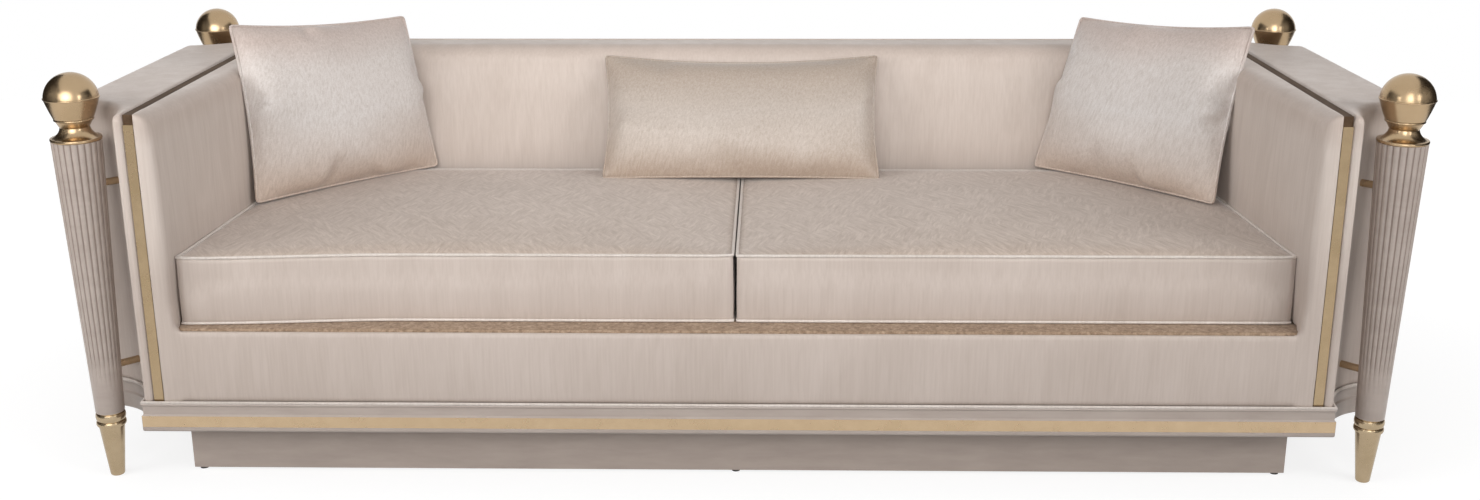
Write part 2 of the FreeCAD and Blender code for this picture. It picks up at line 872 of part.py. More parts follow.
def corner_pillow(cushion, turn, lean, arm_room, back_room):
    # Turned across the corner between the right arm and the back, leaning into it
    half_x = corner_pillow_width / 2 * math.cos(math.radians(turn))
    half_y = corner_pillow_width / 2 * math.sin(math.radians(turn))
    y = back_face - back_room - half_y
    x = arm_face(y - half_y) - arm_room - half_x
    shape = pillow(corner_pillow_width, corner_pillow_height, corner_pillow_thickness)
    shape.rotate(vec(0, 0, 0), vec(1, 0, 0), -lean)
    shape.rotate(vec(0, 0, 0), vec(0, 0, 1), -turn)
    shape.translate(vec(x, y, cushion_top + 2 * cushion_crown))
    settle(shape, cushion, vec(0, 0, -1))
    return shape


def lumbar_pillow(cushion):
    # In the middle, leaning on the back over both cushions
    shape = pillow(lumbar_width, lumbar_height, lumbar_thickness)
    shape.rotate(vec(0, 0, 0), vec(1, 0, 0), -lumbar_lean)
    y = back_face - lumbar_room - lumbar_height * math.sin(math.radians(lumbar_lean))
    shape.translate(vec(0, y, cushion_top + 2 * cushion_crown))
    settle(shape, cushion, vec(0, 0, -1))
    return shape


os.makedirs("parts", exist_ok=True)
plinth()
bottom_board()
base_moulding()
seat_frame()
seat_webbing()
deck()
apron()
arms()
back_pad()
back_frame()
outer_back()
posts()
seat_cushion = right_cushion()
pillows = {
    "left": (left_pillow_turn, left_pillow_lean, left_pillow_arm_room, left_pillow_back_room),
    "right": (right_pillow_turn, right_pillow_lean, right_pillow_arm_room, right_pillow_back_room),
}
for name, sign in sides:
    save("seat_cushion_" + name, on_side(seat_cushion, sign))
    save("corner_pillow_" + name, on_side(corner_pillow(seat_cushion, *pillows[name]), sign))
save("lumbar_pillow", lumbar_pillow(seat_cushion))
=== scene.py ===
import bpy
import json
import math
from mathutils import Matrix, Vector
from mathutils.bvhtree import BVHTree


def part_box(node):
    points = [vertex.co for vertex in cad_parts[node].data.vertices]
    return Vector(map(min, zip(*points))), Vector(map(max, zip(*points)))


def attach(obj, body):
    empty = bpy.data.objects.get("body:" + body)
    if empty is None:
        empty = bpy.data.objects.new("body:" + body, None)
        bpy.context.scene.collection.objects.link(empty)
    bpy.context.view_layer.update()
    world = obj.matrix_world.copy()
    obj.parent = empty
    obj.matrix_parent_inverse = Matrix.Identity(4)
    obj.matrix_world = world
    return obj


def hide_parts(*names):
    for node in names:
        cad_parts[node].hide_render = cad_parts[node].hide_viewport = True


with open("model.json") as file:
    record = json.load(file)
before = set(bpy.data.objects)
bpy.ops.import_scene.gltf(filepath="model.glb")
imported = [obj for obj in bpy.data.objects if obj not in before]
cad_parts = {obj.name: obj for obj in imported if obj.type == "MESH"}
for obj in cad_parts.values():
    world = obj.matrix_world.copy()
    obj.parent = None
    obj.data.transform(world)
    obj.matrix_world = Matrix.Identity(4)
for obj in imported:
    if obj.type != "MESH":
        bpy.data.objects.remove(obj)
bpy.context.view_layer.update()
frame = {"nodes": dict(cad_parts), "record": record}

scene = bpy.context.scene
nodes = frame["nodes"]
sides = {"left": -1, "right": 1}
white = (1, 1, 1)
nearly = 1e-4          # places closer than this count as one
weld = 2e-5            # the same for the corners of CAD triangles
squarely = 0.9         # how far a face has to look along an axis to be counted with it


def clamp(value, low=0, high=1):
    return min(high, max(low, value))


def deselectAll():
    if bpy.context.object and bpy.context.object.mode != "OBJECT":
        bpy.ops.object.mode_set(mode="OBJECT")
    bpy.ops.object.select_all(action="DESELECT")


def makeActive(obj):
    deselectAll()
    obj.select_set(True)
    bpy.context.view_layer.objects.active = obj


def applyAll(obj):
    makeActive(obj)
    bpy.ops.object.transform_apply(location=True, rotation=True, scale=True)


def boxOf(name, first, second):
    # a cube primitive between two opposite corners
    low = Vector([min(pair) for pair in zip(first, second)])
    high = Vector([max(pair) for pair in zip(first, second)])
    deselectAll()
    bpy.ops.mesh.primitive_cube_add(size=1, location=(low + high) / 2)
    obj = bpy.context.object
    obj.name = obj.data.name = name
    obj.scale = high - low
    applyAll(obj)
    return obj


def joinBlock(obj, first, second):
    block = boxOf("filling", first, second)
    makeActive(obj)
    block.select_set(True)
    bpy.ops.object.join()


def cutAcross(obj, axis, places):
    # edge rings at given places along one axis
    normal = [0, 0, 0]
    normal[axis] = 1
    makeActive(obj)
    bpy.ops.object.mode_set(mode="EDIT")
    for place in places:
        spot = [0, 0, 0]
        spot[axis] = place
        bpy.ops.mesh.select_all(action="SELECT")
        bpy.ops.mesh.bisect(plane_co=spot, plane_no=normal)
    bpy.ops.object.mode_set(mode="OBJECT")


def evenCuts(low, high, cell):
    count = max(1, round((high - low) / cell))
    return [low + (high - low) * i / count for i in range(1, count)]


def pickNone(obj, kind):
    # nothing selected, so that faces or edges can be picked by their place
    makeActive(obj)
    bpy.ops.object.mode_set(mode="EDIT")
    bpy.ops.mesh.select_mode(type=kind)
    bpy.ops.mesh.select_all(action="DESELECT")
    bpy.ops.object.mode_set(mode="OBJECT")


def runModifier(obj, kind, **settings):
    makeActive(obj)
    bpy.ops.object.modifier_add(type=kind)
    modifier = obj.modifiers[-1]
    for key, value in settings.items():
        setattr(modifier, key, value)
    bpy.ops.object.modifier_apply(modifier=modifier.name)


def copyNodes(name, nodeNames):
    # CAD meshes copied into one new object, loose triangles merged
    deselectAll()
    copies = []
    for nodeName in nodeNames:
        copy = bpy.data.objects.new(name, nodes[nodeName].data.copy())
        scene.collection.objects.link(copy)
        copy.data.materials.clear()
        copy.select_set(True)
        copies.append(copy)
    obj = copies[0]
    bpy.context.view_layer.objects.active = obj
    if len(copies) > 1:
        bpy.ops.object.join()
    obj.name = obj.data.name = name
    makeActive(obj)
    bpy.ops.object.mode_set(mode="EDIT")
    bpy.ops.mesh.select_all(action="SELECT")
    bpy.ops.mesh.remove_doubles(threshold=weld)
    bpy.ops.object.mode_set(mode="OBJECT")
    return obj


def smoothShade(obj, angle=None):
    makeActive(obj)
    if angle is None:
        bpy.ops.object.shade_smooth()
    else:
        bpy.ops.object.shade_smooth_by_angle(angle=math.radians(angle))


def dress(obj, body, slotName, *materials):
    for material in materials:
        obj.data.materials.append(material)
    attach(obj, body)


# what cushions and pillows share

coverCloth = {
    "quality": 6,
    "mass": 0.3,
    "shearEase": 3,        # a weave gives way sooner on the cross
    "cordSides": 2,        # bevel resolution of the piping
}


def facing(obj, axis):
    return [abs(face.normal[axis]) > squarely for face in obj.data.polygons]


def sewSeams(obj, broad):
    # a seam runs wherever a broad face meets the border
    beside = {}
    for face, isBroad in zip(obj.data.polygons, broad):
        for key in face.edge_keys:
            beside.setdefault(key, set()).add(isBroad)
    for edge in obj.data.edges:
        edge.use_seam = len(beside[tuple(sorted(edge.vertices))]) == 2


def inflate(obj, filling, pins=""):
    # cloth under inner pressure, without gravity, applied at its last frame
    makeActive(obj)
    bpy.ops.object.modifier_add(type="CLOTH")
    cloth = obj.modifiers[-1]
    settings = cloth.settings
    settings.quality = coverCloth["quality"]
    settings.mass = coverCloth["mass"]
    settings.tension_stiffness = filling["stiffness"]
    settings.compression_stiffness = filling["stiffness"]
    settings.shear_stiffness = filling["stiffness"] / coverCloth["shearEase"]
    settings.bending_stiffness = filling["bending"]
    settings.use_pressure = True
    settings.uniform_pressure_force = filling["pressure"]
    settings.effector_weights.gravity = 0
    settings.vertex_group_mass = pins
    cloth.collision_settings.use_collision = False
    cloth.point_cache.frame_start = 1
    cloth.point_cache.frame_end = filling["frames"]
    for step in range(1, filling["frames"] + 1):
        scene.frame_set(step)
    bpy.ops.object.modifier_apply(modifier=cloth.name)
    scene.frame_set(1)


def creaseSeams(obj, amount, others=(), otherAmount=0):
    crease = obj.data.attributes.new("crease_edge", "FLOAT", "EDGE")
    for edge in obj.data.edges:
        crease.data[edge.index].value = amount if edge.use_seam else 0
    for index in others:
        crease.data[index].value = otherAmount


def seamCord(cushion, name, radius, above=-math.inf, below=math.inf):
    # self piping: the sewn edges between two heights, pulled off as a line and given a round section
    pickNone(cushion, "EDGE")
    for edge in cushion.data.edges:
        height = cushion.data.vertices[edge.vertices[0]].co.z
        edge.select = edge.use_seam and above < height < below
    bpy.ops.object.mode_set(mode="EDIT")
    bpy.ops.mesh.duplicate()
    bpy.ops.mesh.separate(type="SELECTED")
    bpy.ops.mesh.select_mode(type="VERT")
    bpy.ops.object.mode_set(mode="OBJECT")
    cord = [o for o in bpy.context.selected_objects if o != cushion][0]
    makeActive(cord)
    cord.data.materials.clear()
    bpy.ops.object.convert(target="CURVE")
    cord.data.bevel_depth = radius
    cord.data.bevel_resolution = coverCloth["cordSides"]
    bpy.ops.object.convert(target="MESH")
    cord = bpy.context.object
    cord.name = cord.data.name = name
    smoothShade(cord)
    return cord


# camera

cameraSet = {
    "place": (0.0669, -3.2220, 1.3071),
    "turn": 1.157,         # degrees to the left
    "tilt": 16.75,         # degrees down
    "roll": -0.16,
    "lens": 38.88,
    "sensor": 36,          # mm wide
}


def makeCamera():
    bpy.ops.object.camera_add()
    camera = bpy.context.object
    camera.name = "photoCamera"
    camera.data.sensor_width = cameraSet["sensor"]
    camera.data.lens = cameraSet["lens"]
    heading = Matrix.Rotation(math.radians(cameraSet["turn"]), 4, "Z")
    pitch = Matrix.Rotation(math.radians(90 - cameraSet["tilt"]), 4, "X")
    roll = Matrix.Rotation(math.radians(cameraSet["roll"]), 4, "Z")
    camera.matrix_world = Matrix.Translation(cameraSet["place"]) @ heading @ pitch @ roll
    scene.camera = camera


deselectAll()
makeCamera()
scene.view_settings.view_transform = "Standard"
print("camera set")


# nodes that the materials share

noiseSpan = (0.3, 0.7)                                    # where most of a noise lies
cloudStops = [(0.3, (0.92, 0.91, 0.9)), (0.7, white)]     # broad patches on every cloth


def startMaterial(name):
    material = bpy.data.materials.new(name)
    material.use_nodes = True
    tree = material.node_tree
    shader = tree.nodes["Principled BSDF"]
    coords = tree.nodes.new("ShaderNodeTexCoord")
    return material, tree, shader, coords.outputs["Object"]


def tune(shader, values):
    for key, value in values.items():
        shader.inputs[key].default_value = value


def mapped(tree, source, scale, turn=(0, 0, 0)):
    mapping = tree.nodes.new("ShaderNodeMapping")
    mapping.vector_type = "TEXTURE"       # turned first, then stretched
    mapping.inputs["Scale"].default_value = [1 / s for s in scale]
    mapping.inputs["Rotation"].default_value = [math.radians(a) for a in turn]
    tree.links.new(source, mapping.inputs["Vector"])
    return mapping.outputs["Vector"]


def noise(tree, vector, scale=1, detail=3, rough=0.5, twist=0):
    node = tree.nodes.new("ShaderNodeTexNoise")
    tune(node, {"Scale": scale, "Detail": detail, "Roughness": rough, "Distortion": twist})
    tree.links.new(vector, node.inputs["Vector"])
    return node.outputs["Fac"]


def ramp(tree, value, stops):
    stops = list(stops)
    node = tree.nodes.new("ShaderNodeValToRGB")
    elements = node.color_ramp.elements
    while len(elements) < len(stops):
        elements.new(0.5)
    for element, (place, colour) in zip(elements, stops):
        element.position = place
        element.color = (*colour, 1)
    tree.links.new(value, node.inputs["Fac"])
    return node.outputs["Color"]


def remap(tree, value, span, goal=(0, 1)):
    node = tree.nodes.new("ShaderNodeMapRange")
    tune(node, {"From Min": span[0], "From Max": span[1], "To Min": goal[0], "To Max": goal[1]})
    tree.links.new(value, node.inputs["Value"])
    return node.outputs["Result"]


def multiply(tree, first, second):
    node = tree.nodes.new("ShaderNodeMix")
    node.data_type = "RGBA"
    node.blend_type = "MULTIPLY"
    node.inputs["Factor"].default_value = 1
    tree.links.new(first, node.inputs["A"])
    tree.links.new(second, node.inputs["B"])
    return node.outputs["Result"]


def blend(tree, share, first, second):
    node = tree.nodes.new("ShaderNodeMix")
    tree.links.new(share, node.inputs["Factor"])
    tree.links.new(first, node.inputs["A"])
    tree.links.new(second, node.inputs["B"])
    return node.outputs["Result"]


def bump(tree, shader, height, relief, under=None):
    # relief is a strength and a depth in metres
    node = tree.nodes.new("ShaderNodeBump")
    tune(node, {"Strength": relief[0], "Distance": relief[1]})
    tree.links.new(height, node.inputs["Height"])
    if under:
        tree.links.new(under, node.inputs["Normal"])
    tree.links.new(node.outputs["Normal"], shader.inputs["Normal"])
    return node.outputs["Normal"]


def combine(tree, operation, *values):
    # arithmetic on links and plain numbers
    node = tree.nodes.new("ShaderNodeMath")
    node.operation = operation
    for socket, value in zip(node.inputs, values):
        if isinstance(value, (int, float)):
            socket.default_value = value
        else:
            tree.links.new(value, socket)
    return node.outputs[0]


def split(tree, place):
    node = tree.nodes.new("ShaderNodeSeparateXYZ")
    tree.links.new(place, node.inputs[0])
    return node.outputs


def paintedLightByHeight(tree, place, cloud, cloth, paintedLight):
    # painted shade and sheen that change with height above the floor, their line broken up by clouds
    drift = cloth["drift"]
    shifted = combine(tree, "MULTIPLY_ADD", cloud, drift, split(tree, place)["Z"])
    return ramp(tree, remap(tree, shifted, (cloth["foot"] + drift / 2, cloth["head"] + drift / 2)), paintedLight)


# champagne satin, and the cord covered with it, painted paler as a highlight

satin = {
    # deep and pale of the weave
    "champagneSatin": [(0.59, 0.505, 0.45), (0.64, 0.557, 0.502)],
    # painted highlight: the cord's satin paler than the rest
    "highlitCordSatin": [(0.63, 0.56, 0.51), (0.71, 0.645, 0.595)],
    "weaveAt": (0.3, 0.62),
    "slub": (230, 230, 7),           # fine across, long upwards
    "slubBump": (0.1, 0.001),
    "thread": (900, 900, 60),
    "threadBump": (0.08, 0.0006),
    "moire": (26, 26, 4.5),
    "moireTurn": (0, 7, 0),
    "moireStops": [(0.35, (0.95, 0.945, 0.94)), (0.65, white)],
    "roughness": (0.56, 0.4),
    "clouds": 3.2,
    # painted shade: darker low down and along the tops, between these heights
    "foot": 0.3,
    "head": 0.72,
    "drift": 0.05,                   # how far clouds shift its line
    "paintedLight": [(0.24, (0.88, 0.865, 0.86)), (0.5, white), (0.86, white), (0.97, (0.9, 0.87, 0.855))],
    "shader": {
        "Specular IOR Level": 0.35,
        "Sheen Weight": 0.2,
        "Sheen Roughness": 0.4,
        "Sheen Tint": (0.95, 0.93, 0.92, 1),
    },
}


def satinMaterial(name):
    material, tree, shader, place = startMaterial(name)
    slub = noise(tree, mapped(tree, place, satin["slub"]), detail=4, rough=0.6)
    thread = noise(tree, mapped(tree, place, satin["thread"]), detail=2)
    moire = noise(tree, mapped(tree, place, satin["moire"], satin["moireTurn"]), rough=0.55, twist=0.8)
    cloud = noise(tree, place, satin["clouds"], detail=2)
    weave = ramp(tree, slub, zip(satin["weaveAt"], satin[name]))
    colour = multiply(tree, weave, ramp(tree, cloud, cloudStops))
    if name == "champagneSatin":
        # painted shade: darker low down and along the tops
        colour = multiply(tree, colour, paintedLightByHeight(tree, place, cloud, satin, satin["paintedLight"]))
    colour = multiply(tree, colour, ramp(tree, moire, satin["moireStops"]))
    tree.links.new(colour, shader.inputs["Base Color"])
    tree.links.new(remap(tree, moire, noiseSpan, satin["roughness"]), shader.inputs["Roughness"])
    weaveBump = bump(tree, shader, slub, satin["slubBump"])
    bump(tree, shader, thread, satin["threadBump"], weaveBump)
    tune(shader, satin["shader"])
    return material


# crushed velvet

velvet = {
    # dark, middle and light of the crush, its scale and turn, and the middle of its roughness
    "seatVelvet": {
        "crush": [(0.475, 0.382, 0.318), (0.545, 0.449, 0.383), (0.63, 0.53, 0.457)],
        "scale": (150, 27, 150),
        "turn": (0, 0, -16),
        "rough": 0.6,
    },
    "pillowVelvet": {
        "crush": [(0.58, 0.53, 0.5), (0.655, 0.61, 0.585), (0.71, 0.675, 0.655)],
        "scale": (260, 260, 50),
        "turn": (0, 14, 0),
        "rough": 0.42,
        # foot to head: painted sheen, golden below, silvery in the middle and warm again above
        "paintedLight": [
            (0.06, (0.92, 0.81, 0.72)),
            (0.22, (0.96, 0.91, 0.87)),
            (0.46, white),
            (0.72, (1, 0.985, 0.975)),
            (0.88, (0.87, 0.78, 0.74)),
        ],
    },
    "lumbarVelvet": {
        "crush": [(0.47, 0.405, 0.355), (0.52, 0.455, 0.405), (0.57, 0.51, 0.46)],
        "scale": (260, 260, 50),
        "turn": (0, 14, 0),
        "rough": 0.42,
        # painted sheen by height, as on the corner pillows
        "paintedLight": [
            (0.05, (0.87, 0.79, 0.72)),
            (0.2, (0.99, 0.97, 0.95)),
            (0.38, white),
            (0.6, (0.84, 0.79, 0.74)),
        ],
    },
    # the deck's velvet painted dark: painted shade under the front of the cushions
    "shadedDeckVelvet": {
        "crush": [(0.205, 0.133, 0.082), (0.335, 0.23, 0.152), (0.48, 0.35, 0.247)],
        "scale": (130, 130, 130),
        "turn": (0, 0, 0),
        "rough": 0.65,
    },
    "crushAt": (0.32, 0.5, 0.69),
    "crushBump": (0.3, 0.0015),
    "roughSwing": 0.1,
    "otherTurn": (0, 0, 34),         # the second way that the seats are brushed
    "patches": 13,
    "patchStops": [(0.46, (0, 0, 0)), (0.54, white)],
    "pile": 420,
    "pileBump": (0.15, 0.0006),
    "pileStops": [(0.35, (0.9, 0.89, 0.88)), (0.6, white)],
    "clouds": 4.5,
    # heights that the painted sheen on the pillows runs over, and how far clouds shift it
    "foot": 0.45,
    "head": 0.82,
    "drift": 0.07,
    "shader": {
        "Specular IOR Level": 0.4,
        "Sheen Weight": 0.35,
        "Sheen Roughness": 0.35,
        "Sheen Tint": (0.94, 0.94, 0.96, 1),
    },
}


def brushed(tree, place, scale, turn):
    return noise(tree, mapped(tree, place, scale, turn), detail=4, rough=0.6, twist=0.5)


def velvetMaterial(name):
    material, tree, shader, place = startMaterial(name)
    cloth = velvet[name]
    fleck = brushed(tree, place, cloth["scale"], cloth["turn"])
    if name == "seatVelvet":              # strokes brushed two ways
        other = brushed(tree, place, cloth["scale"], velvet["otherTurn"])
        patches = ramp(tree, noise(tree, place, velvet["patches"], detail=2), velvet["patchStops"])
        fleck = blend(tree, patches, fleck, other)
    pile = noise(tree, place, velvet["pile"], detail=2, rough=0.7)
    cloud = noise(tree, place, velvet["clouds"], detail=2)
    crush = ramp(tree, fleck, zip(velvet["crushAt"], cloth["crush"]))
    colour = multiply(tree, crush, ramp(tree, cloud, cloudStops))
    # painted sheen on the pillows, by height
    if "paintedLight" in cloth:
        colour = multiply(tree, colour, paintedLightByHeight(tree, place, cloud, velvet, cloth["paintedLight"]))
    colour = multiply(tree, colour, ramp(tree, pile, velvet["pileStops"]))
    tree.links.new(colour, shader.inputs["Base Color"])
    roughness = (cloth["rough"] + velvet["roughSwing"], cloth["rough"] - velvet["roughSwing"])
    tree.links.new(remap(tree, fleck, noiseSpan, roughness), shader.inputs["Roughness"])
    crushBump = bump(tree, shader, fleck, velvet["crushBump"])
    bump(tree, shader, pile, velvet["pileBump"], crushBump)
    tune(shader, velvet["shader"])
    return material


# brass

brass = {
    # dull and bright
    "polishedBrass": [(0.49, 0.36, 0.225), (0.54, 0.405, 0.26)],
    # darker copies of the brass for finials, strip and feet: painted shade for their dimmer reflections
    "finialBrass": [(0.42, 0.3, 0.178), (0.465, 0.338, 0.205)],
    "stripBrass": [(0.35, 0.256, 0.15), (0.40, 0.297, 0.18)],
    "footBrass": [(0.395, 0.302, 0.19), (0.45, 0.35, 0.228)],
    "tarnishAt": (0.3, 0.65),
    "clouds": 22,
    "scratch": (60, 60, 900),
    "scratchBump": (0.02, 0.0003),
    "roughness": (0.3, 0.21),
}


def brassMaterial(name):
    material, tree, shader, place = startMaterial(name)
    cloud = noise(tree, place, brass["clouds"], detail=4, rough=0.6)
    scratch = noise(tree, mapped(tree, place, brass["scratch"]), detail=2)
    tree.links.new(ramp(tree, cloud, zip(brass["tarnishAt"], brass[name])), shader.inputs["Base Color"])
    tree.links.new(remap(tree, cloud, noiseSpan, brass["roughness"]), shader.inputs["Roughness"])
    bump(tree, shader, scratch, brass["scratchBump"])
    tune(shader, {"Metallic": 1})
    return material


# taupe lacquer

lacquer = {
    # deep and pale
    "taupeLacquer": [(0.375, 0.31, 0.272), (0.44, 0.372, 0.33)],
    "postLacquer": [(0.385, 0.318, 0.28), (0.45, 0.38, 0.338)],
    "plinthLacquer": [(0.345, 0.282, 0.245), (0.405, 0.335, 0.292)],
    "grain": (8, 40, 40),
    "orangePeel": 260,
    "peelBump": (0.03, 0.0004),
    "roughness": (0.46, 0.36),
    "shader": {"Coat Weight": 0.15, "Coat Roughness": 0.3},
    "reeds": 22,
    # painted shade in the grooves between the reeds
    "grooveShadeStops": [(0.5, white), (0.95, (0.66, 0.62, 0.6))],
    "reedsEnd": (0.19, 0.25),        # where the reeds run out above the foot
}


def paintedReedShade(tree, place):
    # painted shade in the grooves; the four posts mirror one another
    low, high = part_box("post_column_front_right")
    at = split(tree, place)
    sideways = combine(tree, "SUBTRACT", combine(tree, "ABSOLUTE", at["X"]), (low.x + high.x) / 2)
    endways = combine(tree, "ADD", combine(tree, "ABSOLUTE", at["Y"]), (low.y + high.y) / 2)
    turns = combine(tree, "MULTIPLY", combine(tree, "ARCTAN2", endways, sideways), lacquer["reeds"])
    fade = remap(tree, at["Z"], lacquer["reedsEnd"])
    groove = combine(tree, "MULTIPLY", combine(tree, "COSINE", turns), fade)
    return ramp(tree, groove, lacquer["grooveShadeStops"])


def lacquerMaterial(name):
    material, tree, shader, place = startMaterial(name)
    grain = noise(tree, mapped(tree, place, lacquer["grain"]), detail=4, rough=0.6)
    orangePeel = noise(tree, place, lacquer["orangePeel"], detail=2)
    colour = ramp(tree, grain, zip(noiseSpan, lacquer[name]))
    if name == "postLacquer":
        # painted groove shade on the posts
        colour = multiply(tree, colour, paintedReedShade(tree, place))
    tree.links.new(colour, shader.inputs["Base Color"])
    tree.links.new(remap(tree, grain, noiseSpan, lacquer["roughness"]), shader.inputs["Roughness"])
    bump(tree, shader, orangePeel, lacquer["peelBump"])
    tune(shader, lacquer["shader"])
    return material


# timber and other plain finishes

plain = {
    # deep and pale, scale of the grain, roughness
    "bareTimber": [(0.46, 0.32, 0.19), (0.62, 0.46, 0.29), (12, 12, 90), 0.75],
    "stainedTimber": [(0.055, 0.03, 0.015), (0.1, 0.058, 0.031), (60, 10, 60), 0.75],
    "juteWebbing": [(0.20, 0.155, 0.11), (0.34, 0.27, 0.19), (300, 300, 300), 0.9],
    "platformCloth": [(0.43, 0.37, 0.31), (0.53, 0.46, 0.39), (500, 500, 500), 0.85],
    "darkNylon": [(0.035, 0.033, 0.03), (0.06, 0.056, 0.052), (200, 200, 200), 0.55],
    "roughDrop": 0.12,
    "grainBump": (0.1, 0.0005),
    "shader": {"Specular IOR Level": 0.2},
}


def plainMaterial(name):
    material, tree, shader, place = startMaterial(name)
    deep, pale, scale, rough = plain[name]
    grain = noise(tree, mapped(tree, place, scale), detail=4, rough=0.6)
    tree.links.new(ramp(tree, grain, zip(noiseSpan, (deep, pale))), shader.inputs["Base Color"])
    roughness = remap(tree, grain, noiseSpan, (rough, rough - plain["roughDrop"]))
    tree.links.new(roughness, shader.inputs["Roughness"])
    bump(tree, shader, grain, plain["grainBump"])
    tune(shader, plain["shader"])
    return material


satinCloth = satinMaterial("champagneSatin")
highlitCordCloth = satinMaterial("highlitCordSatin")
seatVelvet = velvetMaterial("seatVelvet")
pillowVelvet = velvetMaterial("pillowVelvet")
lumbarVelvet = velvetMaterial("lumbarVelvet")
shadedDeckVelvet = velvetMaterial("shadedDeckVelvet")
platform = plainMaterial("platformCloth")

slotMaterials = {
    "champagne_satin": satinCloth,
    "crushed_velvet": seatVelvet,
    "brass": brassMaterial("polishedBrass"),
    "taupe_lacquer": lacquerMaterial("taupeLacquer"),
    "plinth_lacquer": lacquerMaterial("plinthLacquer"),
    "timber": plainMaterial("bareTimber"),
    "stained_timber": plainMaterial("stainedTimber"),
    "webbing": plainMaterial("juteWebbing"),
    "nylon": plainMaterial("darkNylon"),
}
# pieces whose finish differs from the rest of their slot: painted shade in the posts' grooves, and darker
# copies of the brass on finials, strip and feet, painted shade for their dimmer reflections
ownMaterials = {
    "post_column": lacquerMaterial("postLacquer"),
    "post_finial": brassMaterial("finialBrass"),
    "arm_strip": brassMaterial("stripBrass"),
    "post_sabot": brassMaterial("footBrass"),
}
for subpart in frame["record"]["subparts"]:
    mesh = nodes[subpart["node"]].data
    mesh.materials.clear()
    mesh.materials.append(slotMaterials[subpart["material_slot"]])
for name, node in nodes.items():
    for start, material in ownMaterials.items():
        if name.startswith(start):
            node.data.materials[0] = material
print("materials made")


# tight upholstery over the padding and panels

upholstery = {
    "voxel": 0.006,
    "smoothing": 0.5,
    "rounds": 5,                     # smoothing passes, about the softness of an edge
    "tieHeights": (0.221, 0.576),
    "tieHole": 0.0085,
    "apronEnd": 0.036,
    "armTail": (0.045, 0.22),        # width and depth of the padding behind each arm
    "armFront": 36,                  # more passes where the arm padding turns round to the front
    "armFrontReach": 0.09,
    # where that begins, and how wide it fades in, beside the strip and above the deck
    "stripFade": (0.004, 0.022),
    "deckFade": (0.01, 0.05),
}


def plugTieHoles(obj, sign):
    # the cover is pushed through by the ties, so their clean holes are closed
    low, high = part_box("post_column_front_" + ("right" if sign > 0 else "left"))
    axisX, axisY = (low.x + high.x) / 2, (low.y + high.y) / 2
    pickNone(obj, "FACE")
    for face in obj.data.polygons:
        middle = sum((obj.data.vertices[i].co for i in face.vertices), Vector()) / len(face.vertices)
        for end in (1, -1):
            way = Vector((-sign, end, 0)).normalized()
            for height in upholstery["tieHeights"]:
                off = middle - Vector((axisX, end * axisY, height))
                if (off - way * off.dot(way)).length < upholstery["tieHole"]:
                    face.select = True
    bpy.ops.object.mode_set(mode="EDIT")
    bpy.ops.mesh.delete(type="FACE")
    bpy.ops.mesh.select_mode(type="VERT")
    bpy.ops.mesh.select_all(action="DESELECT")
    bpy.ops.mesh.select_non_manifold()
    bpy.ops.mesh.fill_holes(sides=0)
    bpy.ops.object.mode_set(mode="OBJECT")


def backApronEnds(obj):
    # blocks behind the ends of the apron, so its cover stays tight against the strip
    low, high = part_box("front_apron")
    size = upholstery["apronEnd"]
    for sign in sides.values():
        outer = (sign * high.x, low.y, low.z)
        joinBlock(obj, outer, (sign * (high.x - size), low.y + size, high.z + size))


def runArmsBack(obj):
    # a narrow run of padding from each arm to the outer back closes the corner above the raked back
    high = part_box("inner_arm_pad_right")[1]
    width, depth = upholstery["armTail"]
    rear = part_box("outer_back")[0].y
    for sign in sides.values():
        outer = (sign * high.x, high.y - width, high.z - depth)
        joinBlock(obj, outer, (sign * (high.x - width), rear, high.z))


def roundArmFronts(obj):
    # above the deck only, and fading out towards the brass strip
    low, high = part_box("inner_arm_pad_right")
    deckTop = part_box("deck_pad")[1].z
    stripGap, stripFade = upholstery["stripFade"]
    deckGap, deckFade = upholstery["deckFade"]
    group = obj.vertex_groups.new(name="armFronts")
    for vertex in obj.data.vertices:
        x, y, z = abs(vertex.co.x), vertex.co.y, vertex.co.z
        share = clamp(1 - (y - low.y) / upholstery["armFrontReach"])
        share *= clamp((high.x - stripGap - x) / stripFade)
        share *= clamp((z - deckTop - deckGap) / deckFade)
        if share > 0:
            group.add([vertex.index], share, "REPLACE")
    runModifier(obj, "SMOOTH", factor=upholstery["smoothing"], iterations=upholstery["armFront"],
                vertex_group="armFronts")


def upholster(obj):
    # one soft skin over the copied solids
    runModifier(obj, "REMESH", mode="VOXEL", voxel_size=upholstery["voxel"], use_smooth_shade=True)
    runModifier(obj, "SMOOTH", factor=upholstery["smoothing"], iterations=upholstery["rounds"])
    smoothShade(obj)


def tightCovers():
    inner = ["front_apron", "inner_arm_pad_left", "inner_arm_pad_right"]
    obj = copyNodes("armAndApronCover", inner)
    backApronEnds(obj)
    runArmsBack(obj)
    upholster(obj)
    roundArmFronts(obj)
    dress(obj, "frame", "champagne_satin", satinCloth)
    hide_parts(*inner)
    obj = copyNodes("insideBackCover", ["inner_back_pad"])
    upholster(obj)
    dress(obj, "frame", "champagne_satin", satinCloth)
    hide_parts("inner_back_pad")
    for side, sign in sides.items():
        node = "outer_arm_" + side
        obj = copyNodes("outsideArmCover_" + side, [node])
        plugTieHoles(obj, sign)
        upholster(obj)
        dress(obj, "frame", "champagne_satin", satinCloth)
        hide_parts(node)
    obj = copyNodes("outsideBackCover", ["outer_back"])
    upholster(obj)
    dress(obj, "frame", "champagne_satin", satinCloth)
    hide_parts("outer_back")


tightCovers()
print("tight covers made")


# welt where the upholstery meets the base

footWelt = {
    "radius": 0.0031,
    "roundness": 3,        # bevel resolution
    "rise": 0.0014,        # above the top of the moulding
    "inset": 0.0022,       # behind the face of the moulding
    "hollow": 0.127,       # radius of the moulding's face in the hollow corners
    "steps": 14,
    "merge": 0.0005,
}


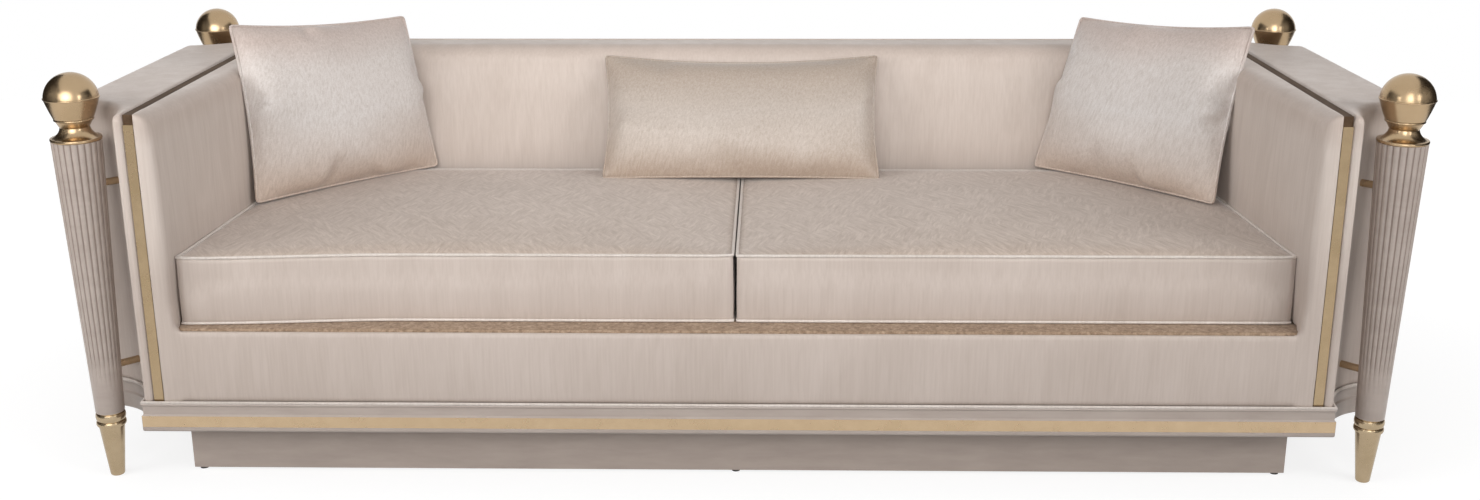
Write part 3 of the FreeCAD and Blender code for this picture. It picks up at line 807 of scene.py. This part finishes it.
def makeFootWelt():
    # one line drawn round the plan: straight runs, and an inward turn at each hollow corner
    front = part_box("base_moulding_front")
    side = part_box("base_moulding_right")
    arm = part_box("outer_arm_right")
    level = front[1].z + footWelt["rise"]
    edgeX = side[1].x - footWelt["inset"]
    edgeY = -front[0].y - footWelt["inset"]
    cornerX, cornerY = arm[1].x, arm[1].y
    radius = footWelt["hollow"] + footWelt["inset"]
    halfFront = cornerX - math.sqrt(radius ** 2 - (edgeY - cornerY) ** 2)
    halfSide = cornerY - math.sqrt(radius ** 2 - (edgeX - cornerX) ** 2)
    turn = math.pi / 2 + math.asin((edgeY - cornerY) / radius) + math.asin((edgeX - cornerX) / radius)
    deselectAll()
    bpy.ops.mesh.primitive_plane_add(size=0.01, location=(0, 0, 0))
    obj = bpy.context.object
    obj.name = obj.data.name = "footWelt"
    bpy.ops.object.mode_set(mode="EDIT")
    bpy.ops.mesh.select_all(action="SELECT")
    bpy.ops.mesh.merge(type="CENTER")          # the plane shrinks to the point that is drawn along
    bpy.ops.transform.translate(value=(-halfFront, -edgeY, level))
    runs = [
        ((2 * halfFront, 0, 0), (cornerX, -cornerY)),
        ((0, 2 * halfSide, 0), (cornerX, cornerY)),
        ((-2 * halfFront, 0, 0), (-cornerX, cornerY)),
        ((0, -2 * halfSide, 0), (-cornerX, -cornerY)),
    ]
    for run, (x, y) in runs:
        bpy.ops.mesh.extrude_region_move(TRANSFORM_OT_translate={"value": run})
        bpy.ops.mesh.spin(steps=footWelt["steps"], angle=turn, center=(x, y, level), axis=(0, 0, 1))
    bpy.ops.mesh.select_all(action="SELECT")
    bpy.ops.mesh.remove_doubles(threshold=footWelt["merge"])
    bpy.ops.object.mode_set(mode="OBJECT")
    bpy.ops.object.convert(target="CURVE")
    obj.data.bevel_depth = footWelt["radius"]
    obj.data.bevel_resolution = footWelt["roundness"]
    bpy.ops.object.convert(target="MESH")
    smoothShade(obj)
    dress(obj, "frame", "champagne_satin", highlitCordCloth)


makeFootWelt()
print("foot welt made")


# deck under the cushions

deck = {
    "lip": 0.16,           # velvet in front, platform cloth behind it
    "edge": 0.004,
    "edgeSteps": 3,
    "smoothUnder": 40,     # degrees
}


def makeDeck():
    low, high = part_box("deck_pad")
    obj = boxOf("seatDeck", low, high)
    seam = low.y + deck["lip"]
    cutAcross(obj, 1, [seam])
    runModifier(obj, "BEVEL", width=deck["edge"], segments=deck["edgeSteps"], limit_method="ANGLE")
    # the velvet lip carries painted shade from the cushions above it
    dress(obj, "frame", "crushed_velvet", shadedDeckVelvet, platform)
    for face in obj.data.polygons:
        face.material_index = 1 if face.center.y > seam else 0
    smoothShade(obj, deck["smoothUnder"])
    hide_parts("deck_pad")


makeDeck()
print("deck made")


# loose seat cushions

seat = {
    "boxing": 0.132,
    "cell": 0.021,
    "shrink": 0.004,         # front and back start a little smaller, then swell
    "between": 0.0034,       # inner side to the middle of the sofa
    "outerReach": 0.002,     # further out to the arm than the solid
    "rearEdge": 0.002,       # the solid's points this near to its rear tell how wide it is there
    "pressure": 5.0,
    "frames": 20,
    "stiffness": 25,
    "bending": 4,
    # how far the cloth may move: anywhere, out at the sides, at front and rear, down at the top seam
    "cap": 0.026,
    "sideSwell": 0.0022,
    "faceSwell": 0.004,
    "seamDrop": 0.002,
    "crease": 0.85,
    "cornerCrease": 0.55,    # the upright edges of the box
    "cord": 0.003,
    "cornerForward": 0.026,  # the left cushion's outer front corner has been pulled forward
    "cornerReach": 0.42,
}


def topOf(nodeName):
    mesh = nodes[nodeName].data
    tree = BVHTree.FromPolygons([v.co for v in mesh.vertices], [p.vertices for p in mesh.polygons])

    def height(x, y):
        above = Vector((x, y, 2))
        hit = tree.ray_cast(above, Vector((0, 0, -1)))[0]
        return hit.z if hit else None
    return height


def seatCushion(side, sign):
    node = "seat_cushion_" + side
    low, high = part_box(node)
    rear = [v.co for v in nodes[node].data.vertices if v.co.y > high.y - seat["rearEdge"]]
    backReach = max(abs(point.x) for point in rear) + seat["outerReach"]
    frontReach = max(abs(low.x), abs(high.x)) + seat["outerReach"]
    across = sorted((sign * seat["between"], sign * frontReach))
    top = low.z + seat["boxing"]
    start = Vector((across[0], low.y + seat["shrink"], low.z))
    end = Vector((across[1], high.y - seat["shrink"], top))
    obj = boxOf("seatCushion_" + side, start, end)
    for vertex in obj.data.vertices:      # the outer side follows the arm padding
        if abs(vertex.co.x) > frontReach / 2 and vertex.co.y > 0:
            vertex.co.x -= sign * (frontReach - backReach)
    for axis in range(3):
        cutAcross(obj, axis, evenCuts(start[axis], end[axis], seat["cell"]))
    flat = facing(obj, 2)
    sewSeams(obj, flat)
    for face, isFlat in zip(obj.data.polygons, flat):
        face.material_index = 0 if isFlat else 1
    atSide = {i for face, yes in zip(obj.data.polygons, facing(obj, 0)) if yes for i in face.vertices}
    atFace = {i for face, yes in zip(obj.data.polygons, facing(obj, 1)) if yes for i in face.vertices}
    resting = [v.index for v in obj.data.vertices if v.co.z < start.z + nearly]
    obj.vertex_groups.new(name="resting").add(resting, 1, "REPLACE")
    before = [v.co.copy() for v in obj.data.vertices]
    inflate(obj, seat, "resting")
    surface = topOf(node)
    corner = Vector((sign * frontReach, low.y))
    for vertex, was in zip(obj.data.vertices, before):
        onTop = was.z > end.z - nearly
        move = vertex.co - was
        if vertex.index in atSide:
            outward = 1 if was.x > (start.x + end.x) / 2 else -1
            move.x = outward * clamp(outward * move.x, 0, seat["sideSwell"])
        if vertex.index in atFace:
            move.y = clamp(move.y, -seat["faceSwell"], seat["faceSwell"])
        if onTop and vertex.index in atSide | atFace:
            move.z = clamp(move.z, -seat["seamDrop"], 0)
        if move.length > seat["cap"]:
            move *= seat["cap"] / move.length
        vertex.co = was + move
        if onTop:                         # no higher than the solid
            limit = surface(vertex.co.x, vertex.co.y)
            if limit is not None and vertex.co.z > limit:
                vertex.co.z = limit
        if side == "left":
            share = max(0, 1 - (vertex.co.xy - corner).length / seat["cornerReach"])
            vertex.co.y -= seat["cornerForward"] * share * share * (3 - 2 * share)
    corners = [e.index for e in obj.data.edges if not e.use_seam and atSide & atFace >= set(e.vertices)]
    creaseSeams(obj, seat["crease"], corners, seat["cornerCrease"])
    runModifier(obj, "SUBSURF", levels=1, render_levels=1)
    smoothShade(obj)
    middle = (low.z + top) / 2
    topCord = seamCord(obj, "seatPipingTop_" + side, seat["cord"], above=middle)
    lowCord = seamCord(obj, "seatPipingLow_" + side, seat["cord"], below=middle)
    for vertex in lowCord.data.vertices:  # the lower cord sits up on the deck
        vertex.co.z += seat["cord"]
    dress(obj, node, "crushed_velvet", seatVelvet, satinCloth)
    dress(topCord, node, "champagne_satin", highlitCordCloth)
    dress(lowCord, node, "champagne_satin", highlitCordCloth)
    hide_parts(node)


for side, sign in sides.items():
    seatCushion(side, sign)
print("seat cushions made")


# loose pillows

pillow = {
    # width, height, thickness, turn across the corner, lean, how far the top corner by the back is drawn in
    "corner_pillow_left": (0.452, 0.366, 0.128, 47, 7, 0.038),
    "corner_pillow_right": (0.452, 0.366, 0.128, -46, 16, 0.036),
    "lumbar_pillow": (0.604, 0.280, 0.108, 0, 28, 0),
    "sink": 0.7,             # how far that corner sinks, to how far it is drawn in
    "cell": 0.0135,
    "flatThickness": 0.012,
    "pressure": 9.0,
    "frames": 22,
    "stiffness": 12,
    "bending": 2.5,
    "edge": 0.3,             # share of the flat thickness left at the seam
    # how far each edge bows in between its corners
    "footBow": 0.004,
    "headBow": 0.018,
    "sideBow": 0.011,
    "smoothing": 0.3,
    "rounds": 3,
    "crease": 0.9,
    "cord": 0.0024,
}


def extent(obj):
    points = [v.co for v in obj.data.vertices]
    low = Vector([min(p[i] for p in points) for i in range(3)])
    high = Vector([max(p[i] for p in points) for i in range(3)])
    return low, high


def fitPillow(obj, size):
    # brought back to the sewn size, so the points of the corners stay where they were cut
    low, high = extent(obj)
    foot = Vector(((low.x + high.x) / 2, (low.y + high.y) / 2, low.z))
    grow = Vector([length / span for length, span in zip(size, high - low)])
    for vertex in obj.data.vertices:
        vertex.co = (vertex.co - foot) * grow


def evenEdges(obj, width, height, sewn):
    # the filling pulls the edges in unevenly, so each is let out to one soft bow and the cloth follows it
    foot, head, left, right = {}, {}, {}, {}
    cloth = []
    for vertex, was in zip(obj.data.vertices, sewn):
        across, up = was.x / width + 0.5, was.z / height
        front = was.y > 0
        column, row = (round(was.x, 4), front), (round(was.z, 4), front)
        cloth.append((vertex, across, up, column, row))
        goal = was.copy()
        goal.y = was.y * pillow["edge"]
        goal.z += (pillow["footBow"] * (1 - up) - pillow["headBow"] * up) * 4 * across * (1 - across)
        goal.x += pillow["sideBow"] * (1 - 2 * across) * 4 * up * (1 - up)
        pull = goal - vertex.co
        if up < nearly:
            foot[column] = pull
        if up > 1 - nearly:
            head[column] = pull
        if across < nearly:
            left[row] = pull
        if across > 1 - nearly:
            right[row] = pull
    end = round(width / 2, 4)
    for vertex, across, up, column, row in cloth:
        front = column[1]
        nearLeft, nearRight = (1 - across) ** 2, across ** 2
        pull = left[row] * nearLeft + right[row] * nearRight
        for line, near in ((foot, (1 - up) ** 2), (head, up ** 2)):
            corners = line[-end, front] * nearLeft + line[end, front] * nearRight
            pull += (line[column] - corners) * near
        vertex.co += pull


def sinkCorner(obj, width, height, turn, slump):
    # the top corner by the back
    for vertex in obj.data.vertices:
        byBack = 0.5 + vertex.co.x / width if turn > 0 else 0.5 - vertex.co.x / width
        share = max(0, byBack * vertex.co.z / height) ** 2
        vertex.co.x -= math.copysign(slump * share, turn)
        vertex.co.z -= slump * pillow["sink"] * share


def setDown(obj, node):
    # at the middle of its solid, and as low
    low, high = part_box(node)
    ownLow, ownHigh = extent(obj)
    shift = (low + high) / 2 - (ownLow + ownHigh) / 2
    shift.z = low.z - ownLow.z
    obj.data.transform(Matrix.Translation(shift))


def loosePillow(node):
    width, height, thickness, turn, lean, slump = pillow[node]
    half, flat = width / 2, pillow["flatThickness"] / 2
    name = node.replace("_pillow", "Pillow")
    obj = boxOf(name, (-half, -flat, 0), (half, flat, height))
    cutAcross(obj, 0, evenCuts(-half, half, pillow["cell"]))
    cutAcross(obj, 2, evenCuts(0, height, pillow["cell"]))
    sewSeams(obj, facing(obj, 1))
    sewn = [v.co.copy() for v in obj.data.vertices]
    onSeam = {i for edge in obj.data.edges if edge.use_seam for i in edge.vertices}
    loose = [v.index for v in obj.data.vertices if v.index not in onSeam]
    obj.vertex_groups.new(name="loose").add(loose, 1, "REPLACE")
    inflate(obj, pillow)
    fitPillow(obj, (width, thickness, height))
    evenEdges(obj, width, height, sewn)
    sinkCorner(obj, width, height, turn, slump)
    heading = Matrix.Rotation(math.radians(turn), 4, "Z")
    obj.data.transform(heading @ Matrix.Rotation(math.radians(-lean), 4, "X"))
    runModifier(obj, "SMOOTH", factor=pillow["smoothing"], iterations=pillow["rounds"], vertex_group="loose")
    creaseSeams(obj, pillow["crease"])
    runModifier(obj, "SUBSURF", levels=1, render_levels=1)
    setDown(obj, node)
    smoothShade(obj)
    cord = seamCord(obj, name + "Piping", pillow["cord"])
    cloth = pillowVelvet if turn else lumbarVelvet
    dress(obj, node, "crushed_velvet", cloth)
    dress(cord, node, "crushed_velvet", cloth)
    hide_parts(node)


for node in ("corner_pillow_left", "corner_pillow_right", "lumbar_pillow"):
    loosePillow(node)
print("pillows made")


# floor and light

studio = {
    "floorSize": 60,
    "floorEnd": 3.2,                 # behind the sofa
    "floorShader": {
        "Base Color": (0.3, 0.3, 0.3, 1),
        "Roughness": 0.9,
        "Specular IOR Level": 0.1,
        "Emission Color": (*white, 1),
    },
    "floorLift": (0.775, 0.89),      # what the floor adds for the camera, near the sofa and far from it
    "shadowReach": (0.72, 1.25, 0),  # an oval round the sofa: 1 divided by its half length and depth
    "shadowFade": (1, 1.8),
    "world": 0.40,
    # place, size, power, spread in degrees and the point aimed at
    "key": ((-0.55, -3.2, 1.9), 3.4, 14.2, 62, (-0.55, 0.3, 0.98)),
    "leftFill": ((-2.9, -2.0, 1.5), 2.2, 18.5, 105, (0.7, 0.1, 0.65)),
    "rightFill": ((2.8, -2.0, 1.5), 2.2, 18.5, 105, (-0.7, 0.1, 0.65)),
    "lampShape": 0.6,                # height to width
    # dark boards at both ends, seen only in the brass
    "boardPlace": (2.5, -0.8),
    "boardSize": (4.6, 2.8),
    "boardShader": {"Base Color": (0.03, 0.022, 0.016, 1), "Roughness": 1},
}


def seenRays(tree):
    # camera, glossy and transmission rays together
    path = tree.nodes.new("ShaderNodeLightPath").outputs
    seen = combine(tree, "MAXIMUM", path["Is Camera Ray"], path["Is Glossy Ray"])
    return combine(tree, "MAXIMUM", seen, path["Is Transmission Ray"])


def makeFloor():
    deselectAll()
    size = studio["floorSize"]
    bpy.ops.mesh.primitive_plane_add(size=size, location=(0, studio["floorEnd"] - size / 2, 0))
    floor = bpy.context.object
    floor.name = "studioFloor"
    applyAll(floor)
    material, tree, shader, place = startMaterial("paleFloor")
    tune(shader, studio["floorShader"])
    # less lift round the sofa: a painted soft shadow in an oval round it, which also keeps its cast shadow
    # on the floor
    reach = tree.nodes.new("ShaderNodeVectorMath")
    reach.operation = "MULTIPLY"
    reach.inputs[1].default_value = studio["shadowReach"]
    tree.links.new(place, reach.inputs[0])
    away = tree.nodes.new("ShaderNodeVectorMath")
    away.operation = "LENGTH"
    tree.links.new(reach.outputs["Vector"], away.inputs[0])
    lift = remap(tree, away.outputs["Value"], studio["shadowFade"], studio["floorLift"])
    tree.links.new(combine(tree, "MULTIPLY", lift, seenRays(tree)), shader.inputs["Emission Strength"])
    floor.data.materials.append(material)


def makeWorld():
    world = bpy.data.worlds.new("studioWorld")
    world.use_nodes = True
    tree = world.node_tree
    background = tree.nodes["Background"]
    background.inputs["Color"].default_value = (*white, 1)
    level = remap(tree, seenRays(tree), (0, 1), (studio["world"], 1))
    tree.links.new(level, background.inputs["Strength"])
    scene.world = world


def softbox(name):
    place, size, power, spread, target = studio[name]
    bpy.ops.object.light_add(type="AREA", location=place)
    lamp = bpy.context.object
    lamp.name = name + "Softbox"
    lamp.data.shape = "RECTANGLE"
    lamp.data.size = size
    lamp.data.size_y = size * studio["lampShape"]
    lamp.data.energy = power
    lamp.data.spread = math.radians(spread)
    aim = Vector(target) - lamp.location
    lamp.rotation_euler = aim.to_track_quat("-Z", "Y").to_euler()


def darkBoard(side, sign):
    wide, tall = studio["boardSize"]
    x, y = studio["boardPlace"]
    bpy.ops.mesh.primitive_plane_add(size=1, location=(sign * x, y, tall / 2))
    board = bpy.context.object
    board.name = "darkBoard_" + side
    board.scale = (tall, wide, 1)
    board.rotation_euler = (0, math.pi / 2, 0)
    material = bpy.data.materials.new("boardCloth")
    material.use_nodes = True
    tune(material.node_tree.nodes["Principled BSDF"], studio["boardShader"])
    board.data.materials.append(material)
    board.visible_camera = False
    board.visible_diffuse = False
    board.visible_shadow = False
    board.visible_transmission = False


makeFloor()
makeWorld()
for side, sign in sides.items():
    darkBoard(side, sign)
for lampName in ("key", "leftFill", "rightFill"):
    softbox(lampName)
print("floor and light set")
